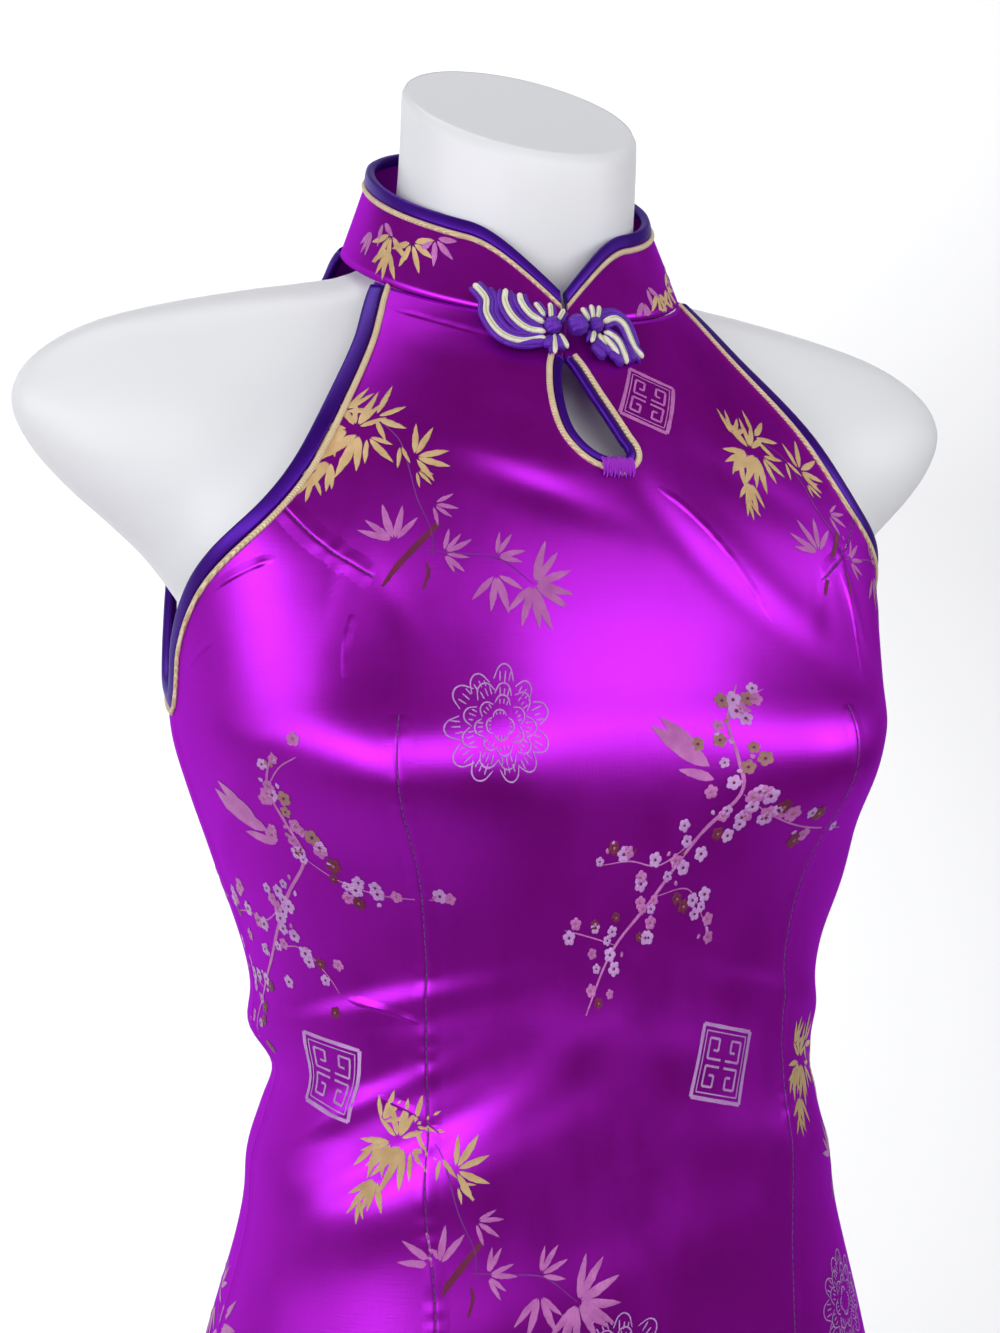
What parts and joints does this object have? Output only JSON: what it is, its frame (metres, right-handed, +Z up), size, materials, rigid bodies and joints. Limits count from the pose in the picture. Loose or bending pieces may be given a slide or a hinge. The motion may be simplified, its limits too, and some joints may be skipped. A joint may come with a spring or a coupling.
{
  "type": "cheongsam dress on a dress form",
  "caption": "Sleeveless satin cheongsam with stand collar, keyhole, frog closure and piped edges, worn by a limbless torso form on a pole and round base.",
  "frame": {"origin": "on the floor, at the middle of the stand's base", "axes": "+Z up, the wearer faces -Y and their left side is at +X"},
  "size_m": [0.4148, 0.34, 1.4397],
  "materials": {
    "satin": "glossy violet satin brocade",
    "binding": "blue-violet satin bias binding",
    "piping": "cream satin piping",
    "frog_cord": "violet and cream rolled satin cord",
    "form_shell": "satin white moulded shell",
    "stand_metal": "brushed steel",
    "base_coat": "satin white powder coat"
  },
  "bodies": {
    "root": {"front_panel": "satin", "back_panel": "satin", "collar_stand": "satin", "collar_binding": "binding", "collar_piping": "piping", "armhole_binding_right": "binding", "armhole_binding_left": "binding", "armhole_piping_right": "piping", "armhole_piping_left": "piping", "keyhole_binding": "binding", "keyhole_piping": "piping", "frog_wing_right": "frog_cord", "frog_wing_left": "frog_cord", "frog_knot": "frog_cord", "form_torso": "form_shell", "stand_flange": "stand_metal", "stand_pole": "stand_metal", "stand_base": "base_coat"}
  },
  "joints": []
}
